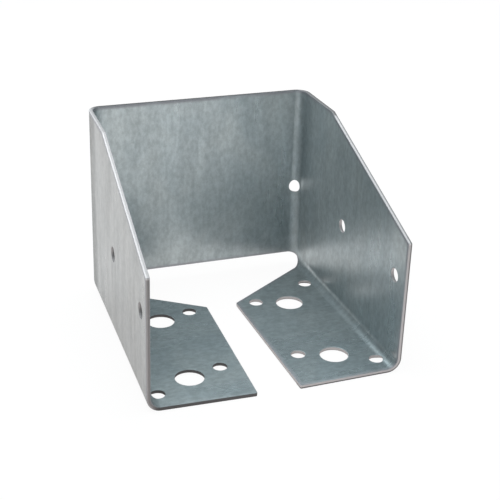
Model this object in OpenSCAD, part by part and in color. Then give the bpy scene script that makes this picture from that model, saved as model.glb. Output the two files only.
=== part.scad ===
// Concealed-flange joist hanger, folded from one blank of galvanised sheet.
// It lies on its two header flanges, with the header face down at z = 0.
// X runs across the joist and Y from the open front to the seat, which stands upright at the back.
// The origin is at the middle of the hanger's footprint, on the header face.
// Lengths are in millimetres and angles in degrees.

/* [Sheet] */
// Thickness of the sheet
sheet_t = 1.5; // [1:0.1:2.5]
// Inside radius of every fold
fold_r = 3.75; // [2:0.25:5]

/* [Seat] */
// Clear width between the side walls at the seat
seat_w = 90; // [84:1:140]
// Height of the seat's far edge above the header face
seat_h = 79.5; // [65:0.5:120]
// Height of the seat's near edge above the header face
seat_low = 5; // [4.5:0.25:12]

/* [Side walls] */
// Length from the front edge to the outer face of the seat
wall_l = 100; // [95:1:150]
// Height of the front edge above the header face
front_h = 53; // [45:0.5:60]
// Length of the level top edge, from the outer face of the seat
top_l = 30; // [10:0.5:50]
// Angle by which each wall opens outwards from square to the seat
wall_splay = 1.7; // [0:0.1:3]

/* [Header flanges] */
// Width of each flange, from the outer face of its wall
flange_w = 41; // [37:0.5:44]
// Length of each flange along its fold
flange_l_fold = 89.5; // [84:0.5:93]
// Length of each flange along its free edge
flange_l_free = 67; // [64:0.5:84]
// Radius of the round corner that joins a flange's back edge to the seat's near edge in the flat blank
relief_r = 15; // [10:1:24]

/* [Nail holes] */
// Diameter of a nail hole
nail_d = 5.5; // [3:0.5:6]
// Distance between neighbouring holes of a wall, along the flat blank
wall_pitch = 45.5; // [40:0.5:48]
// Distance between the front and rear holes of a row in a flange
flange_pitch = 44; // [40:0.5:46]
// Height of the wall nail holes above the header face
wall_nail_h = 36.5; // [14:0.5:40]
// Distance of the first wall nail hole from the front edge
wall_nail_front = 8.5; // [6:0.5:12]
// Inset of the inner nail holes from the outer face of the wall
inner_nail_inset = 33; // [31:0.5:34]
// Distance of the front inner nail hole from the front edge
inner_nail_front = 21; // [8:0.5:24]
// Inset of the front outer nail hole from the outer face of the wall
front_outer_inset = 6; // [5.5:0.5:9]
// Distance of the front outer nail hole from the front edge
front_outer_front = 8.5; // [6:0.5:30]
// Inset of the rear outer nail hole from the outer face of the wall
rear_outer_inset = 7; // [5.5:0.5:9]
// Distance of the rear outer nail hole from the front edge
rear_outer_front = 74.5; // [60:0.5:80]

/* [Bolt holes] */
// Diameter of a bolt hole
bolt_d = 11; // [8:0.5:12]
// Inset of the bolt holes from the outer face of the wall
bolt_inset = 20; // [16:0.5:22]
// Distance of the front bolt hole from the front edge
bolt_front = 16.5; // [10:0.5:18]

/* [Hidden] */
sheet_color = [0.62, 0.65, 0.66];
$fn = 96;
// Spare length by which a cutter passes the faces that it cuts
over = 1;
// Outside radius of every fold
fold_out = fold_r + sheet_t;
// How far the seat's near edge lies above the top of the flange folds, or below it if negative
seat_gap = seat_low - fold_out;
// Centre of the fold between the seat and the right wall, measured from the front edge
fold_x = seat_w / 2 - fold_r;
fold_y = wall_l - fold_out;
// Angle through which the sheet turns between the seat and a wall
seat_bend = 90 - wall_splay;
// Distance from the fold centre to a flange's free edge
flange_reach = flange_w - fold_out;
// The splay swings the flanges' free front corners a little ahead of the front edge
front_y = fold_y - fold_y * cos(wall_splay) - flange_reach * sin(wall_splay);
mid_y = (front_y + wall_l) / 2;
// Slope of a wall's raked edge, from the front edge up to the level top
rake = (seat_h - front_h) / (wall_l - top_l);
// Radius of the sheet's middle layer in a fold, on which flat lengths are kept
mid_r = fold_r + sheet_t / 2;
// Nail holes of the right flange, as [inset from the outer wall face, distance from the front edge]
flange_nails = [
    [inner_nail_inset, inner_nail_front],
    [inner_nail_inset, inner_nail_front + flange_pitch],
    [front_outer_inset, front_outer_front],
    [rear_outer_inset, rear_outer_front]
];
// Bolt holes of the right flange, in the same form
flange_bolts = [
    [bolt_inset, bolt_front],
    [bolt_inset, bolt_front + flange_pitch]
];
// The round corner in the flat blank: its heights start where the flange fold starts, and it runs
// from the flange's back edge there to the level of the seat's near edge
blank_level = arc_length(90) + seat_gap;
relief_start = flange_l_fold - fold_y;
relief_h = blank_level - relief_r;
relief_y = relief_start + sqrt(pow(relief_r, 2) - pow(relief_h, 2));
// The flange fold is cut in equal shares, each of them squarely at its own middle
cut_shares = 6;
share_turn = 90 / cut_shares;
// How far the shares lap over each other, as an angle
share_lap = 1;

// Length along the middle layer of a fold that turns through an angle
function arc_length(turn) = mid_r * turn * PI / 180;

// How far a place in the blank, given by its distance past the fold's start, lies round the seat fold
function seat_turn(past) = min(max(past, 0) / mid_r * 180 / PI, seat_bend);

// A point far out from the centre of the flange fold, at an angle round from the flange
function ray(turn) = 2 * fold_out * [sin(turn), -cos(turn)];

// A quarter or less of a round fold about the vertical axis, from the X axis round by turn
module fold(turn, height) {
    rotate_extrude(angle = turn)
        translate([fold_r, 0])
            square([sheet_t, height]);
}

// Places its children in the frame of the right wall: origin at the centre of the seat fold,
// X out through the wall, Y along the wall towards the seat
module at_wall() {
    translate([fold_x, fold_y, 0])
        rotate([0, 0, wall_splay])
            children();
}

// The side view of a wall above its flange fold, with Y to the right, and tall enough to be trimmed
module wall_outline() {
    polygon([
        [-fold_y, fold_out],
        [0, fold_out],
        [0, seat_h + over],
        [fold_out - top_l + over / rake, seat_h + over],
        [-fold_y, front_h]
    ]);
}

module wall() {
    translate([fold_r, 0, 0])
        rotate([90, 0, 90])
            linear_extrude(sheet_t)
                wall_outline();
}

// The plan of a flange, up to the start of its fold
module flange_outline() {
    polygon([
        [0, -fold_y],
        [0, flange_l_fold - fold_y],
        [-flange_reach, flange_l_free - fold_y],
        [-flange_reach, -fold_y]
    ]);
}

module flange() {
    linear_extrude(sheet_t)
        flange_outline();
}

// The fold between a flange and its wall, from the front edge to the seat fold
module flange_fold() {
    translate([0, -fold_y, fold_out])
        rotate([-90, 0, 0])
            fold(90, fold_y);
}

// The fold between a wall and the seat
module seat_fold() {
    translate([0, 0, fold_out])
        fold(seat_bend, seat_h + over - fold_out);
}

// The round sheet where the two folds run into each other, before the corner cut
module fold_corner() {
    translate([0, 0, fold_out])
        intersection() {
            difference() {
                sphere(r = fold_out);
                sphere(r = fold_r);
            }
            translate([0, 0, -2 * fold_out])
                cube(2 * fold_out);
            rotate([0, 0, seat_bend])
                translate([0, -2 * fold_out, -2 * fold_out])
                    cube(2 * fold_out);
        }
}

// The blank's corner waste, as it lies on a share of the flange fold that a turn leads to
module corner_waste(turn) {
    rotate([0, -turn, 0])
        translate([relief_h - arc_length(turn), relief_y, 0])
            linear_extrude(4 * fold_out, center = true) {
                circle(r = relief_r);
                translate([-relief_r, 0])
                    square([2 * relief_r, wall_l]);
            }
}

// What a share of the corner cut may reach, seen along the flange fold: the last share also takes
// what stands straight above the fold
module share_reach(share) {
    rotate([90, 0, 0])
        linear_extrude(2 * wall_l, center = true)
            polygon(concat(
                [[0, 0], ray(share * share_turn - share_lap)],
                share < cut_shares - 1
                    ? [ray((share + 1) * share_turn + share_lap)]
                    : [[2 * fold_out, 2 * fold_out], [0, 2 * fold_out]]
            ));
}

// Everything below the level of the seat's near edge, as seen from the centre of the flange fold
module below_seat() {
    translate([-2 * fold_out, -wall_l, seat_gap - 4 * fold_out])
        cube([4 * fold_out, 2 * wall_l, 4 * fold_out]);
}

// Cuts the corner where the two folds meet along the blank's round corner
module corner_cut() {
    translate([0, 0, fold_out])
        for (share = [0 : cut_shares - 1]) {
            intersection() {
                share_reach(share);
                below_seat();
                corner_waste((share + 0.5) * share_turn);
            }
        }
}

// A round punch through a flange, at an inset from the outer wall face and a distance from the front
module flange_punch(place, diameter) {
    translate([fold_out - place[0], place[1] - fold_y, -over])
        cylinder(d = diameter, h = fold_out + 2 * over);
}

// A nail punch driven level through the wall, at a distance from the front edge that is measured
// along the blank, so a far one goes round the seat fold
module wall_punch(distance) {
    past = distance - fold_y;
    turn = seat_turn(past);
    rotate([0, 0, turn])
        translate([0, past - arc_length(turn), wall_nail_h])
            rotate([0, 90, 0])
                cylinder(d = nail_d, h = fold_out + over);
}

// All the punches of the right half, some of which also reach the seat
module punches() {
    at_wall() {
        for (place = flange_nails) {
            flange_punch(place, nail_d);
        }
        for (place = flange_bolts) {
            flange_punch(place, bolt_d);
        }
        for (station = [0 : 2]) {
            wall_punch(wall_nail_front + station * wall_pitch);
        }
    }
}

// One wall with its flange and its folds
module right_side() {
    at_wall() {
        difference() {
            union() {
                wall();
                flange();
                flange_fold();
                seat_fold();
                fold_corner();
            }
            corner_cut();
        }
    }
}

// The seat, whose near edge bends with the flange folds where it is lower than their tops
module seat() {
    flat_z = max(seat_low, fold_out);
    translate([-fold_x, wall_l - sheet_t, flat_z])
        cube([2 * fold_x, sheet_t, seat_h + over - flat_z]);
    if (seat_gap < 0) {
        intersection() {
            translate([fold_x, fold_y, fold_out])
                rotate([-90, 0, 90])
                    fold(90, 2 * fold_x);
            translate([-seat_w, 0, seat_low])
                cube([2 * seat_w, 2 * wall_l, fold_out]);
        }
    }
}

// Trims the seat, the folds and the walls level with each other
module top_trim() {
    translate([-seat_w, -over, seat_h])
        cube([2 * seat_w, wall_l + 2 * over, 2 * over]);
}

module hanger() {
    color(sheet_color)
        translate([0, -mid_y, 0])
            difference() {
                union() {
                    seat();
                    right_side();
                    mirror([1, 0, 0])
                        right_side();
                }
                punches();
                mirror([1, 0, 0])
                    punches();
                top_trim();
            }
}

hanger();
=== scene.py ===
"""The looks of a joist hanger that is folded from one galvanised sheet.

The sheet is worked out flat, as the blank that the press cuts, and is then folded up by a formula.
A place in the blank is (along, up, depth): along is measured from the centre line of the seat, up from
the start of the fold under the walls, and depth from the middle layer towards the outer face.
The hanger's sizes are in millimetres until the mesh is made, and have the same values as in the part's
source. The floor, the lamps and the camera are placed in metres.
"""

import math

import bpy
import numpy as np
from mathutils import Matrix
from mathutils.geometry import delaunay_2d_cdt


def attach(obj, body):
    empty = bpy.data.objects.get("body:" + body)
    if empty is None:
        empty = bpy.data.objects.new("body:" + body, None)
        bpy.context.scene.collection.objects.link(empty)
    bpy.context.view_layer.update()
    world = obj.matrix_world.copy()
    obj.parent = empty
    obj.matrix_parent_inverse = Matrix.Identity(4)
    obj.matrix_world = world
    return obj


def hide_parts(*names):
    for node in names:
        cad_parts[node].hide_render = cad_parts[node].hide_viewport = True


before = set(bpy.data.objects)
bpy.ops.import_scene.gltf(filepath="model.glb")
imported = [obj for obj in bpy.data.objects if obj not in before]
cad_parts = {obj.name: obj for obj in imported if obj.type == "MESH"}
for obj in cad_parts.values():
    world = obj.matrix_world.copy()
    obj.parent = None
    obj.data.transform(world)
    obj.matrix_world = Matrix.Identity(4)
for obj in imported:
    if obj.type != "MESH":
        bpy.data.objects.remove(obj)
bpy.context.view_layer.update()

MM = 0.001

# The sheet, its middle layer in a fold, and that layer's length in a quarter turn
SHEET_T = 1.5
FOLD_R = 3.75
MID_R = FOLD_R + SHEET_T / 2
FOLD_OUT = FOLD_R + SHEET_T
QUARTER = MID_R * math.pi / 2

# The seat, the walls and the flanges
SEAT_W = 90
SEAT_H = 79.5
SEAT_LOW = 5
WALL_L = 100
FRONT_H = 53
TOP_L = 30
SPLAY = math.radians(1.7)
FLANGE_W = 41
FLANGE_L_FOLD = 89.5
FLANGE_L_FREE = 67
FLANGE_REACH = FLANGE_W - FOLD_OUT

# Radius of the round corner under the seat fold, and of the small round on the blank's other corners
RELIEF_R = 15
CORNER_R = 0.6

# The centre of the right seat fold, and the middle of the hanger's depth
FOLD_X = SEAT_W / 2 - FOLD_R
FOLD_Y = WALL_L - FOLD_OUT
SEAT_BEND = math.pi / 2 - SPLAY
FRONT_Y = FOLD_Y - FOLD_Y * math.cos(SPLAY) - FLANGE_REACH * math.sin(SPLAY)
MID_Y = (FRONT_Y + WALL_L) / 2

# Where the blank's landmarks lie: along it the start of the seat fold and the front edge, and up it
# the wall's front corner and the far edge
HALF_RUN = MID_R * SEAT_BEND + FOLD_X
FRONT = HALF_RUN + FOLD_Y
CORNER_UP = QUARTER + FRONT_H - FOLD_OUT
FAR_UP = QUARTER + SEAT_H - FOLD_OUT

# The holes: their radius, their inset from the wall's outer face and their distance from the front
NAIL_R = 2.75
BOLT_R = 5.5
FLANGE_PITCH = 44
INNER_NAIL_INSET = 33
INNER_NAIL_FRONT = 21
FRONT_OUTER_INSET = 6
FRONT_OUTER_FRONT = 8.5
REAR_OUTER_INSET = 7
REAR_OUTER_FRONT = 74.5
BOLT_INSET = 20
BOLT_FRONT = 16.5
WALL_PITCH = 45.5
WALL_NAIL_H = 36.5
WALL_NAIL_FRONT = 8.5

# The section of a cut: how far its rolled rim reaches in and down, how far its torn part widens, and
# the radius of its last round
SHORN_EDGE = (0.25, 0.18, 0.06, 0.1)
PUNCHED_EDGE = (0.3, 0.2, 0.24, 0.08)
# The faces end this far inside a cut, where its rounded rim starts
RIM = 0.45
# The tearing starts at this share of its way
TEAR_START = 0.04

# The net of points on the faces: lines in a fold, points on round cuts, and the steps elsewhere
FOLD_LINES = 16
RELIEF_POINTS = 33
HOLE_POINTS = 48
CORNER_POINTS = 5
CUT_STEP = 1.6
NET_STEP = 2.5
# Distances that points of the net keep: from a fold, from the band along the outer cuts, and from a rim
FOLD_GAP = 2
BAND_GAP = 0.4
RIM_GAP = 0.45

# Width of the rougher band along the outer cuts
EDGE_BAND = 1.6

# The zinc's dark and pale clouds on its inner and outer face, its worn edge and the bare steel. The inner
# face's bluer, paler tone is a painted reflection of the cool room
INNER_DARK = (0.4, 0.449, 0.464, 1)
INNER_PALE = (0.488, 0.523, 0.523, 1)
OUTER_DARK = (0.315, 0.315, 0.31, 1)
OUTER_PALE = (0.375, 0.365, 0.355, 1)
WORN_EDGE = (0.42, 0.41, 0.43, 1)
BARE_STEEL = (1.06, 0.98, 0.97)
METALLIC = 0.78

# The zinc's patterns: how far the blank's rise is squeezed for each, which draws its marks out, and
# its scale, detail, roughness and warp
CLOUDS = (0.7, 60, 4, 0.55, 0.6)
DRIFTS = (0.45, 22, 2, 0.5, 0.3)
STREAKS = (0.14, 170, 3, 0.6, 0.2)
ROLLING_LINES = (0.03, 900, 1, 0.5, 0)
GRAIN = (0.6, 560, 4, 0.75, 0)
WAVES = (1, 95, 1, 0.4, 0)
# Stretch of the patterns through the sheet, by which its two faces differ
DEPTH_STRETCH = 40
# The ranges over which the patterns are read
CLOUDS_RANGE = (0.3, 0.7)
DRIFTS_RANGE = (0.35, 0.65)
FINE_RANGE = (0.3, 0.7)
# How far the fine patterns darken or lighten the zinc
LINES_TONE = (0.98, 1.02)
GRAIN_TONE = (0.86, 1.13)
STREAKS_TONE = (0.94, 1.05)
# Shares of the clouds and of the drifts in the pale zinc
CLOUDS_SHARE = 0.6
DRIFTS_SHARE = 0.4

# Roughness of the zinc, what the drifts and the streaks change in it, and what the seat folds add
ROUGH = 0.3
DRIFTS_ROUGH = 0.04
STREAKS_ROUGH = 0.03
FOLDS_ROUGH = 0.2
ROUGH_RANGE = (0.25, 0.75)
# The dull stretch at a seat fold, from the fold's start on the wall: where it starts, is full, starts
# to fade and ends
DULL_STRETCH = (-10, -4, 4, 12)
# Roughness along the cuts, and along those of the left flange
EDGE_ROUGH = 0.55
LEFT_FLANGE_ROUGH = 0.75
# The worn band is thinner where the clouds are dark, and on the left flange, where it is mostly taken off as
# painted shade from the left wall
BAND_CLOUDS = (0.3, 0.6)
DARK_BAND = 0.4
LEFT_FLANGE_SHADED_BAND = 0.15
# Height of the sheet's soft waves, in millimetres
WAVE_HEIGHT = 0.05

# How light the bare cuts are, in painted light and shade as from a light at the left, with painted highlights
# on the raked edges above. A pair is for a wall's upright front edge and for what is above it
RIGHT_SHEARED = (0.5, 0.78)
RIGHT_FRONT_TORN = (0.2, 0.3)
# Painted contact shadow: the torn part of the right flange's front cut is darker where it meets the floor
RIGHT_FLANGE_FRONT_TORN_SHADOW = 0.12
RIGHT_TORN = 0.4
RIGHT_FLANGE_REAR_TORN = 0.16
# The left half's cuts: the torn part lighter than the sheared one, as painted light from the left
LEFT_SHEARED = (0.24, 0.6)
LEFT_TORN = (0.36, 0.8)
# Painted shade: the left flange's cuts are darkened as if in the left wall's shadow
LEFT_FLANGE_CUT_SHADE = 0.15
FAR_EDGE = 0.13
# Share of the far edge's tone that the right wall's top takes
RIGHT_TOP_SHARE = 0.7
# Distances from the front edge up to which cuts count as front ones, and past which as rear ones
FRONT_CUTS = 4
REAR_CUTS = 70

# The room's light, the lamps and the floor, in metres, with how much of the floor is plain white to
# the camera and in the metal
ROOM = (0.332, 0.38, 0.398, 1)
WHITE = (1, 1, 1, 1)
LAMP_COLOUR = (0.9, 1.0, 1.04)
LAMP_SIZE = 1.2
LAMP_TARGET = (0, 0, 0.03)
FLOOR_COLOUR = (0.78, 0.72, 0.7, 1)
FLOOR_REACH = 4
FLOOR_Z = -0.00005
CAMERA_SHARE = 0.94
MIRRORED_SHARE = 0.45

# The camera that was fitted to the photograph, in metres, degrees and pixels
CAMERA_PLACE = (-0.139168, -0.391642, 0.234772)
CAMERA_TURNS = (20.28, 25.748, -1.869)
FOCAL_LENGTH = 1192.688
FRAME_WIDTH = 500
SENSOR = 36


def folded(blank):
    """Where places of the blank come to lie once it is folded, in metres.

    Under a wall the sheet turns a quarter round a level line: its distance from that line is the middle
    radius plus the depth, and what lies below or above the fold goes straight on. Round the corner to
    the seat it turns the same way about an upright line, and what lies past that fold goes straight on.
    The half is then swung open by the splay and set in its place, and the other half is its mirror image.
    """
    along, up, depth = blank.T
    reach = MID_R + depth
    lean = np.clip(up / MID_R, 0, math.pi / 2)
    out = reach * np.sin(lean) + np.minimum(up, 0)
    z = FOLD_OUT - reach * np.cos(lean) + np.maximum(up - QUARTER, 0)
    past = HALF_RUN - np.abs(along)
    turn = np.clip(past / MID_R, 0, SEAT_BEND)
    rest = past - MID_R * turn
    x = out * np.cos(turn + SPLAY) - rest * np.sin(turn + SPLAY) + FOLD_X
    y = out * np.sin(turn + SPLAY) + rest * np.cos(turn + SPLAY) + FOLD_Y - MID_Y
    return np.stack([np.where(along < 0, -x, x), y, z], axis=1) * MM


def folded_normals(blank, normals):
    """Directions in the blank, turned as the folding turns the sheet there.

    The folding's slopes along the blank's three axes are taken over a small step to each side. A
    surface direction follows the cross products of those slopes, not the slopes themselves. The
    blank's axes form a left-handed set once folded, which the minus sign puts right.
    """
    step = 0.002
    slopes = [(folded(blank + move) - folded(blank - move)) for move in np.eye(3) * step]
    turned = -(
        normals[:, :1] * np.cross(slopes[1], slopes[2])
        + normals[:, 1:2] * np.cross(slopes[2], slopes[0])
        + normals[:, 2:] * np.cross(slopes[0], slopes[1])
    )
    return turned / np.linalg.norm(turned, axis=1, keepdims=True)


def arc(centre, radius, start, end, count):
    """Points on a circle from one angle to another, evenly spaced."""
    a = np.linspace(start, end, count)
    return np.stack([centre[0] + radius * np.cos(a), centre[1] + radius * np.sin(a)], axis=1)


def rounded(corner, before, after, radius):
    """A corner between two straight edges, rounded: a curve that leaves each edge at the same distance."""
    corner, before, after = (np.array(p, float) for p in (corner, before, after))
    a = (before - corner) / np.linalg.norm(before - corner)
    b = (after - corner) / np.linalg.norm(after - corner)
    half = math.acos(float(np.clip(a @ b, -1, 1))) / 2
    middle = corner + (a + b) / np.linalg.norm(a + b) * radius / math.sin(half)
    first = corner + a * radius / math.tan(half) - middle
    last = corner + b * radius / math.tan(half) - middle
    start = math.atan2(first[1], first[0])
    sweep = (math.atan2(last[1], last[0]) - start + math.pi) % (2 * math.pi) - math.pi
    return arc(middle, radius, start, start + sweep, CORNER_POINTS)


def half_outline():
    """The cut edge of the right half, from the seat's near edge round the front to its far edge."""
    relief_up = QUARTER + SEAT_LOW - FOLD_OUT - RELIEF_R
    relief_past = FLANGE_L_FOLD - FOLD_Y
    centre_past = relief_past + math.sqrt(RELIEF_R**2 - relief_up**2)
    relief_end = math.atan2(-relief_up, centre_past - relief_past)
    relief = arc((HALF_RUN - centre_past, relief_up), RELIEF_R, math.pi / 2, relief_end, RELIEF_POINTS)
    corners = [
        relief[-1],
        (FRONT - FLANGE_L_FREE, -FLANGE_REACH),
        (FRONT, -FLANGE_REACH),
        (FRONT, CORNER_UP),
        (FRONT - WALL_L + TOP_L, FAR_UP),
        (0, FAR_UP),
    ]
    parts = [relief]
    for before, corner, after in zip(corners, corners[1:], corners[2:]):
        parts.append(rounded(corner, before, after, CORNER_R))
    return np.concatenate(parts)


def half_holes():
    """The holes of the right half, as (along, up, radius)."""
    inner_up = FOLD_OUT - INNER_NAIL_INSET
    bolt_up = FOLD_OUT - BOLT_INSET
    wall_up = QUARTER + WALL_NAIL_H - FOLD_OUT
    return [
        (FRONT - INNER_NAIL_FRONT, inner_up, NAIL_R),
        (FRONT - (INNER_NAIL_FRONT + FLANGE_PITCH), inner_up, NAIL_R),
        (FRONT - FRONT_OUTER_FRONT, FOLD_OUT - FRONT_OUTER_INSET, NAIL_R),
        (FRONT - REAR_OUTER_FRONT, FOLD_OUT - REAR_OUTER_INSET, NAIL_R),
        (FRONT - BOLT_FRONT, bolt_up, BOLT_R),
        (FRONT - (BOLT_FRONT + FLANGE_PITCH), bolt_up, BOLT_R),
        *((FRONT - (WALL_NAIL_FRONT + i * WALL_PITCH), wall_up, NAIL_R) for i in range(3)),
    ]


def bend_lines():
    """The lines of the blank at which the sheet turns further: their values of along and of up."""
    turns = np.linspace(0, 1, FOLD_LINES + 1)
    seat_lines = HALF_RUN - MID_R * SEAT_BEND * turns
    return np.concatenate([seat_lines, -seat_lines]), QUARTER * turns


def with_more_points(rim, faces, lines, spacing):
    """A closed pair of lines, one on the cut and one at the faces' end, with more points.

    Points are added where the inner line crosses a line at which the sheet starts to turn further, and
    evenly on what is longer than the spacing. Both lines take their new points at the same shares.
    """
    onward = np.roll(faces, -1, axis=0)
    length = np.linalg.norm(onward - faces, axis=1)
    pieces = np.arange(len(rim))
    owners, shares = [pieces], [np.zeros(len(rim))]
    for axis, values in enumerate(lines):
        crossing = pieces[np.abs(onward[:, axis] - faces[:, axis]) > 1e-9]
        begin, end = faces[crossing, axis, None], onward[crossing, axis, None]
        t = (values - begin) / (end - begin)
        inside = (t > 0.02) & (t < 0.98)
        owners.append(np.broadcast_to(crossing[:, None], t.shape)[inside])
        shares.append(t[inside])
    owner, share = np.concatenate(owners), np.concatenate(shares)

    count = np.ceil(length / spacing).astype(int)
    even_owner = np.repeat(pieces, count - 1)
    first = np.repeat(np.cumsum(count - 1) - (count - 1), count - 1)
    even = (np.arange(len(even_owner)) - first + 1) / count[even_owner]
    distance = np.abs(even[:, None] - share) * length[even_owner, None]
    clear = ~((owner == even_owner[:, None]) & (distance <= 0.3 * spacing)).any(axis=1)

    owner, share = np.concatenate([owner, even_owner[clear]]), np.concatenate([share, even[clear]])
    placed = np.unique(np.column_stack([owner, share]), axis=0)
    owner, t = placed[:, 0].astype(int), placed[:, 1:]
    on_cut = rim[owner] * (1 - t) + np.roll(rim, -1, axis=0)[owner] * t
    on_faces = faces[owner] * (1 - t) + onward[owner] * t
    return on_cut, on_faces


def drawn_in(line, distance):
    """A closed line moved to its left by a distance, with its corners kept sharp."""
    before, after = line - np.roll(line, 1, axis=0), np.roll(line, -1, axis=0) - line
    a = np.stack([-before[:, 1], before[:, 0]], axis=1) / np.linalg.norm(before, axis=1, keepdims=True)
    b = np.stack([-after[:, 1], after[:, 0]], axis=1) / np.linalg.norm(after, axis=1, keepdims=True)
    return line + (a + b) * (distance / (1 + (a * b).sum(axis=1, keepdims=True)))


def within(points, line):
    """Which points lie inside a closed line: a level ray from them crosses it an odd number of times."""
    a, b = line, np.roll(line, -1, axis=0)
    x, y = points[:, :1], points[:, 1:]
    rising = (a[:, 1] > y) != (b[:, 1] > y)
    slope = (b[:, 0] - a[:, 0]) / np.where(b[:, 1] == a[:, 1], 1e-12, b[:, 1] - a[:, 1])
    crossed = rising & (x < a[:, 0] + (y - a[:, 1]) * slope)
    return crossed.sum(axis=1) % 2 == 1


def clearance(points, line):
    """The distance of each point from a closed line."""
    a, d = line, np.roll(line, -1, axis=0) - line
    t = np.clip(((points[:, None] - a) * d).sum(axis=2) / (d * d).sum(axis=1), 0, 1)
    return np.linalg.norm(points[:, None] - a - t[..., None] * d, axis=2).min(axis=1)


def rim_profile(roll_in, roll_down, torn_out, burr):
    """The section of a punched edge, from the inner face to the outer face.

    Each row holds the distance inside the cut, the depth, the section's direction as two numbers, and
    how far the place belongs to the cut. The punch draws the inner face down in a quarter of an
    ellipse and shears the sheet straight to its middle. The rest tears off on a slope, by which the cut
    widens towards the outer face, and ends there in a small round.
    """
    half = SHEET_T / 2
    a = np.linspace(0, math.pi / 2, 7)
    slope = np.stack([np.sin(a) / roll_in, -np.cos(a) / roll_down], axis=1)
    slope /= np.linalg.norm(slope, axis=1, keepdims=True)
    drawn = np.column_stack(
        [roll_in * (1 - np.sin(a)), -half + roll_down * (1 - np.cos(a)), slope, (a / a[-1]) ** 3]
    )
    tilt = math.atan2(torn_out, half - burr)
    sheared = [0, 0, 1, 0, 1]
    tearing = [TEAR_START * torn_out, TEAR_START * half, math.cos(tilt), math.sin(tilt), 1]
    c = np.linspace(tilt, math.pi / 2, 4)
    ended = np.column_stack(
        [
            torn_out + burr * (math.cos(tilt) - np.cos(c)),
            half - burr * (1 - np.sin(c)),
            np.cos(c),
            np.sin(c),
            1 - ((c - tilt) / (c[-1] - tilt)) ** 2,
        ]
    )
    return np.vstack([drawn, sheared, tearing, ended])


def sheet_cuts(lines):
    """All cuts of the blank, the outline first and then the holes of both halves.

    Each is a closed line, the same line drawn in to where the faces end, and the section between them.
    """
    half = half_outline()
    cuts = [(np.concatenate([half, half[::-1] * [-1, 1]]), rim_profile(*SHORN_EDGE))]
    punched = rim_profile(*PUNCHED_EDGE)
    for along, up, radius in half_holes():
        for side in (1, -1):
            hole = arc((side * along, up), radius, 0, -2 * math.pi, HOLE_POINTS + 1)[:-1]
            cuts.append((hole, punched))
    return [
        (*with_more_points(line, drawn_in(line, RIM), lines, CUT_STEP), section) for line, section in cuts
    ]


def face_points(cuts, along_lines, up_lines):
    """The points of the faces between the cuts.

    They are a grid whose lines lie close together where the sheet folds, and one line along the outer
    cuts, at the inner side of their band.
    """
    outline, outline_end, section = cuts[0]
    runs = np.concatenate([np.arange(0, FOLD_X, NET_STEP), np.arange(HALF_RUN + FOLD_GAP, FRONT, NET_STEP)])
    columns = np.unique(np.round(np.concatenate([runs, -runs, along_lines]), 9))
    flange_rows = np.arange(-FOLD_GAP, -FLANGE_REACH, -NET_STEP)
    wall_rows = np.arange(QUARTER + FOLD_GAP, FAR_UP, NET_STEP)
    rows = np.concatenate([flange_rows, up_lines, wall_rows])
    points = np.stack(np.meshgrid(columns, rows), axis=-1).reshape(-1, 2)
    points = points[clearance(points, outline) > EDGE_BAND + BAND_GAP]
    points = np.concatenate([points, drawn_in(outline, EDGE_BAND)])
    points = points[within(points, outline_end) & (clearance(points, outline) > 0.98 * EDGE_BAND)]
    points = points[clearance(points, outline_end) > RIM_GAP]
    for hole, end, section in cuts[1:]:
        points = points[~within(points, end) & (clearance(points, end) > RIM_GAP)]
    return points


def face_triangles(flat, cuts):
    """The triangles of the faces: a net over all points that keeps each cut's line as its edges."""
    edges, start = [], 0
    for line, end, section in cuts:
        ring = np.arange(start, start + len(end))
        edges.append(np.stack([ring, np.roll(ring, -1)], axis=1))
        start += len(end)
    net = delaunay_2d_cdt(flat.tolist(), np.concatenate(edges).tolist(), [], 0, 1e-6)
    if len(net[0]) != len(flat):
        raise ValueError("the net has other points than the blank")
    own = np.array([first[0] for first in net[3]])
    tris = own[np.array(net[2])]
    centre = flat[tris].mean(axis=1)
    keep = within(centre, cuts[0][1])
    for line, end, section in cuts[1:]:
        keep &= ~within(centre, end)
    tris = tris[keep]
    a, b, c = flat[tris[:, 0]], flat[tris[:, 1]], flat[tris[:, 2]]
    turned = (b - a)[:, 0] * (c - a)[:, 1] - (b - a)[:, 1] * (c - a)[:, 0] < 0
    tris[turned] = tris[turned][:, ::-1]
    return tris


def rows_of(spots, depth, across, down, cut, edge):
    """Points as rows: the place in the blank, the direction there, and the marks of the cut and the band."""
    depth, down, cut, edge = (np.full(len(spots), value) for value in (depth, down, cut, edge))
    return np.column_stack([spots, depth, across, down, cut, edge])


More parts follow.
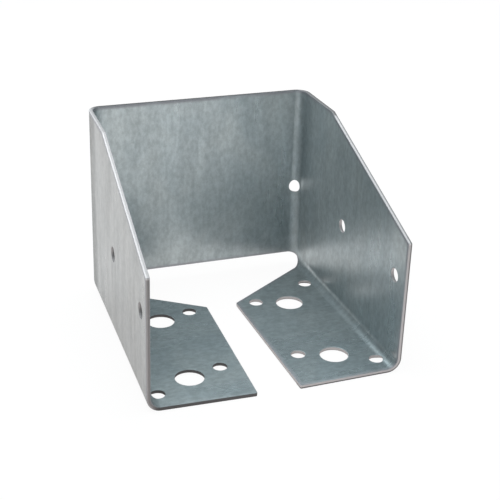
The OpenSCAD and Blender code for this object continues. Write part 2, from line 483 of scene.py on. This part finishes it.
def folded_sheet():
    """The whole sheet as one closed surface.

    Its two faces share one net of triangles, laid in the flat blank. At every cut the two faces are
    joined by the punched edge's section, carried round the cut. All of it is then folded up, with its
    surface directions.
    """
    lines = bend_lines()
    cuts = sheet_cuts(lines)
    outline = cuts[0][0]
    flat = np.concatenate([end for line, end, section in cuts] + [face_points(cuts, *lines)])
    tris = face_triangles(flat, cuts)

    count = len(flat)
    band = np.clip((EDGE_BAND - clearance(flat, outline)) / (EDGE_BAND - RIM), 0, 1)
    rows = [rows_of(flat, side * SHEET_T / 2, 0 * flat, side, 0, band) for side in (-1, 1)]
    quads = []
    total, start = 2 * count, 0
    for line, end, section in cuts:
        outward = (line - end) / RIM
        unit = outward / np.linalg.norm(outward, axis=1, keepdims=True)
        rings = [np.arange(start, start + len(line))]
        for inside, depth, across, down, mark in section:
            spots = line - outward * inside
            rows.append(rows_of(spots, depth, unit * across, down, mark, line is outline))
            rings.append(np.arange(total, total + len(line)))
            total += len(line)
        rings.append(rings[0] + count)
        start += len(line)
        for ring, beyond in zip(rings, rings[1:]):
            quads.append(np.stack([ring, beyond, np.roll(beyond, -1), np.roll(ring, -1)], axis=1))
    rows = np.concatenate(rows)
    faces = tris.tolist() + (tris[:, ::-1] + count).tolist() + np.concatenate(quads).tolist()

    mesh = bpy.data.meshes.new("folded_sheet")
    mesh.from_pydata(folded(rows[:, :3]).tolist(), [], faces)
    mesh.polygons.foreach_set("use_smooth", np.ones(len(faces), bool))
    blank = mesh.attributes.new("blank", "FLOAT_VECTOR", "POINT")
    blank.data.foreach_set("vector", (rows[:, :3] * MM).astype(np.float32).ravel())
    for name, column in (("cut", 6), ("edge", 7)):
        mark = mesh.attributes.new(name, "FLOAT", "POINT")
        mark.data.foreach_set("value", rows[:, column].astype(np.float32))
    mesh.update()
    mesh.normals_split_custom_set_from_vertices(folded_normals(rows[:, :3], rows[:, 3:6]).tolist())
    return mesh


def add(tree, kind, values=(), **settings):
    """Puts a node into a tree, sets its properties, and fills its inputs: a socket is linked, a value set."""
    made = tree.nodes.new(kind)
    for name, value in settings.items():
        setattr(made, name, value)
    for name, value in dict(values).items():
        if isinstance(value, bpy.types.NodeSocket):
            tree.links.new(value, made.inputs[name])
        else:
            made.inputs[name].default_value = value
    return made


def calc(tree, operation, a, b=0.0):
    """Two values, added, multiplied or the like."""
    return add(tree, "ShaderNodeMath", {0: a, 1: b}, operation=operation).outputs[0]


def blended(tree, share, a, b):
    """Two colours mixed by a share."""
    return add(tree, "ShaderNodeMix", {0: share, 6: a, 7: b}, data_type="RGBA").outputs[2]


def mixed(tree, share, a, b):
    """Two values mixed by a share."""
    return add(tree, "ShaderNodeMix", {0: share, 2: a, 3: b}, data_type="FLOAT").outputs[0]


def stretched(tree, place, stretch):
    """A place with each of its three numbers multiplied."""
    return add(tree, "ShaderNodeVectorMath", {0: place, 1: stretch}, operation="MULTIPLY").outputs[0]


def times(tree, colour, factor):
    """A colour made lighter or darker by a factor."""
    return add(tree, "ShaderNodeVectorMath", {0: colour, "Scale": factor}, operation="SCALE").outputs[0]


def spread(tree, value, low, high, to_low=0.0, to_high=1.0):
    """A value stretched smoothly from one range to another."""
    values = {"Value": value, "From Min": low, "From Max": high, "To Min": to_low, "To Max": to_high}
    return add(tree, "ShaderNodeMapRange", values, interpolation_type="SMOOTHSTEP").outputs["Result"]


def passed(tree, coordinate, start, end):
    """How far a coordinate of the blank has come from a start to an end, both in millimetres."""
    return spread(tree, coordinate, start * MM, end * MM)


def pattern(tree, place, squeeze, scale, detail, rough, warp):
    """A noise over the blank, which is squeezed along its rise first, so that the marks are drawn out."""
    values = {"Scale": scale, "Detail": detail, "Roughness": rough, "Distortion": warp}
    values["Vector"] = stretched(tree, place, (1, squeeze, 1))
    return add(tree, "ShaderNodeTexNoise", values).outputs["Fac"]


def cut_tone_with_painted_light(tree, along, up, depth):
    """How light the bare cuts are, by where they lie in the blank.

    The tones are painted light and shade, as from a light at the left: the torn outer part is darker than
    the sheared one on the right half, and the other way round on the left half. The left flange's cuts take
    painted shade from the left wall, the right flange's front a painted contact shadow, and the walls' raked
    edges painted highlights. The seat's far edge is the darkest.
    """
    torn = passed(tree, depth, 0.1, 0.3)
    right = passed(tree, along, -1, 1)
    flange = passed(tree, up, 4, 1)
    above = passed(tree, up, CORNER_UP - 1, CORNER_UP)
    far = passed(tree, up, FAR_UP - 1.2, FAR_UP - 0.7)
    behind = passed(tree, along, FRONT - FRONT_CUTS + 0.5, FRONT - FRONT_CUTS)
    rear = passed(tree, along, FRONT - REAR_CUTS + 1, FRONT - REAR_CUTS - 1)
    seat = passed(tree, calc(tree, "ABSOLUTE", along), HALF_RUN - 1, HALF_RUN - 6)

    rear_flange = calc(tree, "MULTIPLY", rear, flange)
    right_behind = mixed(tree, rear_flange, RIGHT_TORN, RIGHT_FLANGE_REAR_TORN)
    right_front = mixed(tree, flange, mixed(tree, above, *RIGHT_FRONT_TORN), RIGHT_FLANGE_FRONT_TORN_SHADOW)
    right_torn = mixed(tree, behind, right_front, right_behind)
    right_tone = mixed(tree, torn, mixed(tree, above, *RIGHT_SHEARED), right_torn)
    left_wall = mixed(tree, torn, mixed(tree, above, *LEFT_SHEARED), mixed(tree, above, *LEFT_TORN))
    left_tone = mixed(tree, flange, left_wall, LEFT_FLANGE_CUT_SHADE)
    tone = mixed(tree, right, left_tone, right_tone)
    top = calc(tree, "MAXIMUM", seat, calc(tree, "MULTIPLY", right, RIGHT_TOP_SHARE))
    return mixed(tree, calc(tree, "MULTIPLY", far, top), tone, FAR_EDGE)


def galvanised_finish():
    """Dull zinc with soft clouds, faint rolling lines and a fine grain, and bare steel at its cuts.

    All patterns lie in the flat blank, so they run on over the folds. Depth is stretched, so that the
    two faces of the sheet differ. The inner face is painted bluer and paler than the outer one, a painted
    reflection of the cool room, and is more clouded. The zinc is duller where the sheet bends between a
    wall and the seat. The bare cuts carry painted light and shade.
    """
    material = bpy.data.materials.new("galvanised_sheet")
    material.use_nodes = True
    tree = material.node_tree
    tree.nodes.clear()
    blank = add(tree, "ShaderNodeAttribute", attribute_name="blank").outputs["Vector"]
    cut = add(tree, "ShaderNodeAttribute", attribute_name="cut").outputs["Fac"]
    edge = add(tree, "ShaderNodeAttribute", attribute_name="edge").outputs["Fac"]
    place = stretched(tree, blank, (1, 1, DEPTH_STRETCH))
    along, up, depth = add(tree, "ShaderNodeSeparateXYZ", {"Vector": blank}).outputs
    outer = passed(tree, depth, -0.3, 0.3)
    left_flange = calc(tree, "MULTIPLY", passed(tree, along, 1, -1), passed(tree, up, 4, 1))
    clouds = pattern(tree, place, *CLOUDS)
    drifts = pattern(tree, place, *DRIFTS)
    streaks = pattern(tree, place, *STREAKS)
    lines = pattern(tree, place, *ROLLING_LINES)
    grain = pattern(tree, place, *GRAIN)
    waves = pattern(tree, place, *WAVES)

    pale_clouds = spread(tree, clouds, *CLOUDS_RANGE, 0, CLOUDS_SHARE)
    pale = calc(tree, "ADD", pale_clouds, spread(tree, drifts, *DRIFTS_RANGE, 0, DRIFTS_SHARE))
    # The inner face's bluer, paler colour is a painted reflection of the cool room
    inside = blended(tree, pale, INNER_DARK, INNER_PALE)
    outside = blended(tree, pale, OUTER_DARK, OUTER_PALE)
    zinc = blended(tree, outer, inside, outside)
    tone = spread(tree, lines, *FINE_RANGE, *LINES_TONE)
    tone = calc(tree, "MULTIPLY", tone, spread(tree, grain, *FINE_RANGE, *GRAIN_TONE))
    tone = calc(tree, "MULTIPLY", tone, spread(tree, streaks, *FINE_RANGE, *STREAKS_TONE))
    band = calc(tree, "MULTIPLY", edge, spread(tree, clouds, *BAND_CLOUDS, DARK_BAND, 1))
    # On the left flange the pale band is mostly taken off: painted shade from the left wall
    band = calc(tree, "MULTIPLY", band, spread(tree, left_flange, 0, 1, 1, LEFT_FLANGE_SHADED_BAND))
    toned = blended(tree, band, times(tree, zinc, tone), WORN_EDGE)
    # The bare cuts take painted light and shade by where they lie
    colour = blended(tree, cut, toned, times(tree, BARE_STEEL, cut_tone_with_painted_light(tree, along, up, depth)))

    aside = calc(tree, "ABSOLUTE", along)
    start, full, leaving, end = (HALF_RUN + distance for distance in DULL_STRETCH)
    bent = calc(tree, "MULTIPLY", passed(tree, aside, start, full), passed(tree, aside, end, leaving))
    rough = spread(tree, drifts, *ROUGH_RANGE, ROUGH - DRIFTS_ROUGH, ROUGH + DRIFTS_ROUGH)
    rough = calc(tree, "ADD", rough, spread(tree, streaks, *FINE_RANGE, STREAKS_ROUGH, -STREAKS_ROUGH))
    rough = calc(tree, "ADD", rough, calc(tree, "MULTIPLY", bent, FOLDS_ROUGH))
    worn = calc(tree, "MAXIMUM", band, spread(tree, cut, 0, 0.02))
    rough = mixed(tree, worn, rough, mixed(tree, left_flange, EDGE_ROUGH, LEFT_FLANGE_ROUGH))

    height = calc(tree, "MULTIPLY", waves, WAVE_HEIGHT)
    bump = add(tree, "ShaderNodeBump", {"Height": height, "Strength": 1.0, "Distance": MM})
    values = {"Base Color": colour, "Metallic": METALLIC, "Roughness": rough, "Normal": bump.outputs[0]}
    surface = add(tree, "ShaderNodeBsdfPrincipled", values)
    add(tree, "ShaderNodeOutputMaterial", {"Surface": surface.outputs[0]})
    return material


def pale_floor():
    """A plain white floor, which looks white to the camera and in the metal and keeps a faint shadow."""
    mesh = bpy.data.meshes.new("floor")
    corners = np.array([(-1, -1), (1, -1), (1, 1), (-1, 1)], float) * FLOOR_REACH
    mesh.from_pydata(np.column_stack([corners, np.full(4, FLOOR_Z)]).tolist(), [], [(0, 1, 2, 3)])
    floor = bpy.data.objects.new("floor", mesh)
    bpy.context.scene.collection.objects.link(floor)
    material = bpy.data.materials.new("floor")
    material.use_nodes = True
    tree = material.node_tree
    tree.nodes.clear()
    path = add(tree, "ShaderNodeLightPath").outputs
    glow = add(tree, "ShaderNodeEmission", {"Color": WHITE, "Strength": 1.0}).outputs[0]
    matt = add(tree, "ShaderNodeBsdfDiffuse", {"Color": FLOOR_COLOUR}).outputs[0]
    seen = calc(tree, "MULTIPLY", path["Is Camera Ray"], CAMERA_SHARE)
    mirrored = calc(tree, "MAXIMUM", path["Is Glossy Ray"], path["Is Transmission Ray"])
    share = calc(tree, "ADD", seen, calc(tree, "MULTIPLY", mirrored, MIRRORED_SHARE))
    surface = add(tree, "ShaderNodeMixShader", {0: share, 1: matt, 2: glow}).outputs[0]
    add(tree, "ShaderNodeOutputMaterial", {"Surface": surface})
    mesh.materials.append(material)


def white_room():
    """An even world: white to the camera, and a dim cool room as light and in the metal."""
    world = bpy.data.worlds.new("room")
    world.use_nodes = True
    bpy.context.scene.world = world
    tree = world.node_tree
    seen = add(tree, "ShaderNodeLightPath").outputs["Is Camera Ray"]
    tree.links.new(blended(tree, seen, ROOM, WHITE), tree.nodes["Background"].inputs["Color"])


def aimed(place, target):
    """A matrix that stands at a place and looks at a target with its own -Z, with Y upwards."""
    back = np.array(place, float) - np.array(target, float)
    back /= np.linalg.norm(back)
    right = np.cross((0, 0, 1), back)
    right /= np.linalg.norm(right)
    made = np.eye(4)
    made[:3, 0], made[:3, 1], made[:3, 2], made[:3, 3] = right, np.cross(back, right), back, place
    return Matrix(made.tolist())


def softbox(name, place, power, mirrored):
    """A square area lamp at a place, facing the hanger. The metal mirrors it or is only lit by it."""
    lamp = bpy.data.lights.new(name, "AREA")
    lamp.shape = "SQUARE"
    lamp.size = LAMP_SIZE
    lamp.energy = power
    lamp.color = LAMP_COLOUR
    made = bpy.data.objects.new(name, lamp)
    bpy.context.scene.collection.objects.link(made)
    made.matrix_world = aimed(place, LAMP_TARGET)
    made.visible_glossy = mirrored


def photo_camera():
    """The camera of the photograph: its place, three turning angles and focal length, as fitted."""
    yaw, pitch, roll = (math.radians(v) for v in CAMERA_TURNS)
    ahead = np.array([math.sin(yaw) * math.cos(pitch), math.cos(yaw) * math.cos(pitch), -math.sin(pitch)])
    right = np.array([math.cos(yaw), -math.sin(yaw), 0])
    down = np.cross(ahead, right)
    turned_right = math.cos(roll) * right + math.sin(roll) * down
    turned_down = -math.sin(roll) * right + math.cos(roll) * down
    made = np.eye(4)
    made[:3, :] = np.column_stack([turned_right, -turned_down, -ahead, CAMERA_PLACE])
    lens = bpy.data.cameras.new("photo_camera")
    lens.sensor_width = SENSOR
    lens.lens = SENSOR * FOCAL_LENGTH / FRAME_WIDTH
    lens.clip_start = 0.01
    camera = bpy.data.objects.new("photo_camera", lens)
    bpy.context.scene.collection.objects.link(camera)
    camera.matrix_world = Matrix(made.tolist())
    bpy.context.scene.camera = camera


photo_camera()
white_room()
pale_floor()
softbox("overhead", place=(-0.06, 0.12, 1.3), power=22.3, mirrored=False)
softbox("overhead_shine", place=(-0.12, 0.42, 1.15), power=5.2, mirrored=True)

sheet = bpy.data.objects.new("folded_sheet", folded_sheet())
bpy.context.scene.collection.objects.link(sheet)
sheet.data.materials.append(galvanised_finish())
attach(sheet, "root")
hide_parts("hanger")

bpy.context.scene.view_settings.view_transform = "Standard"
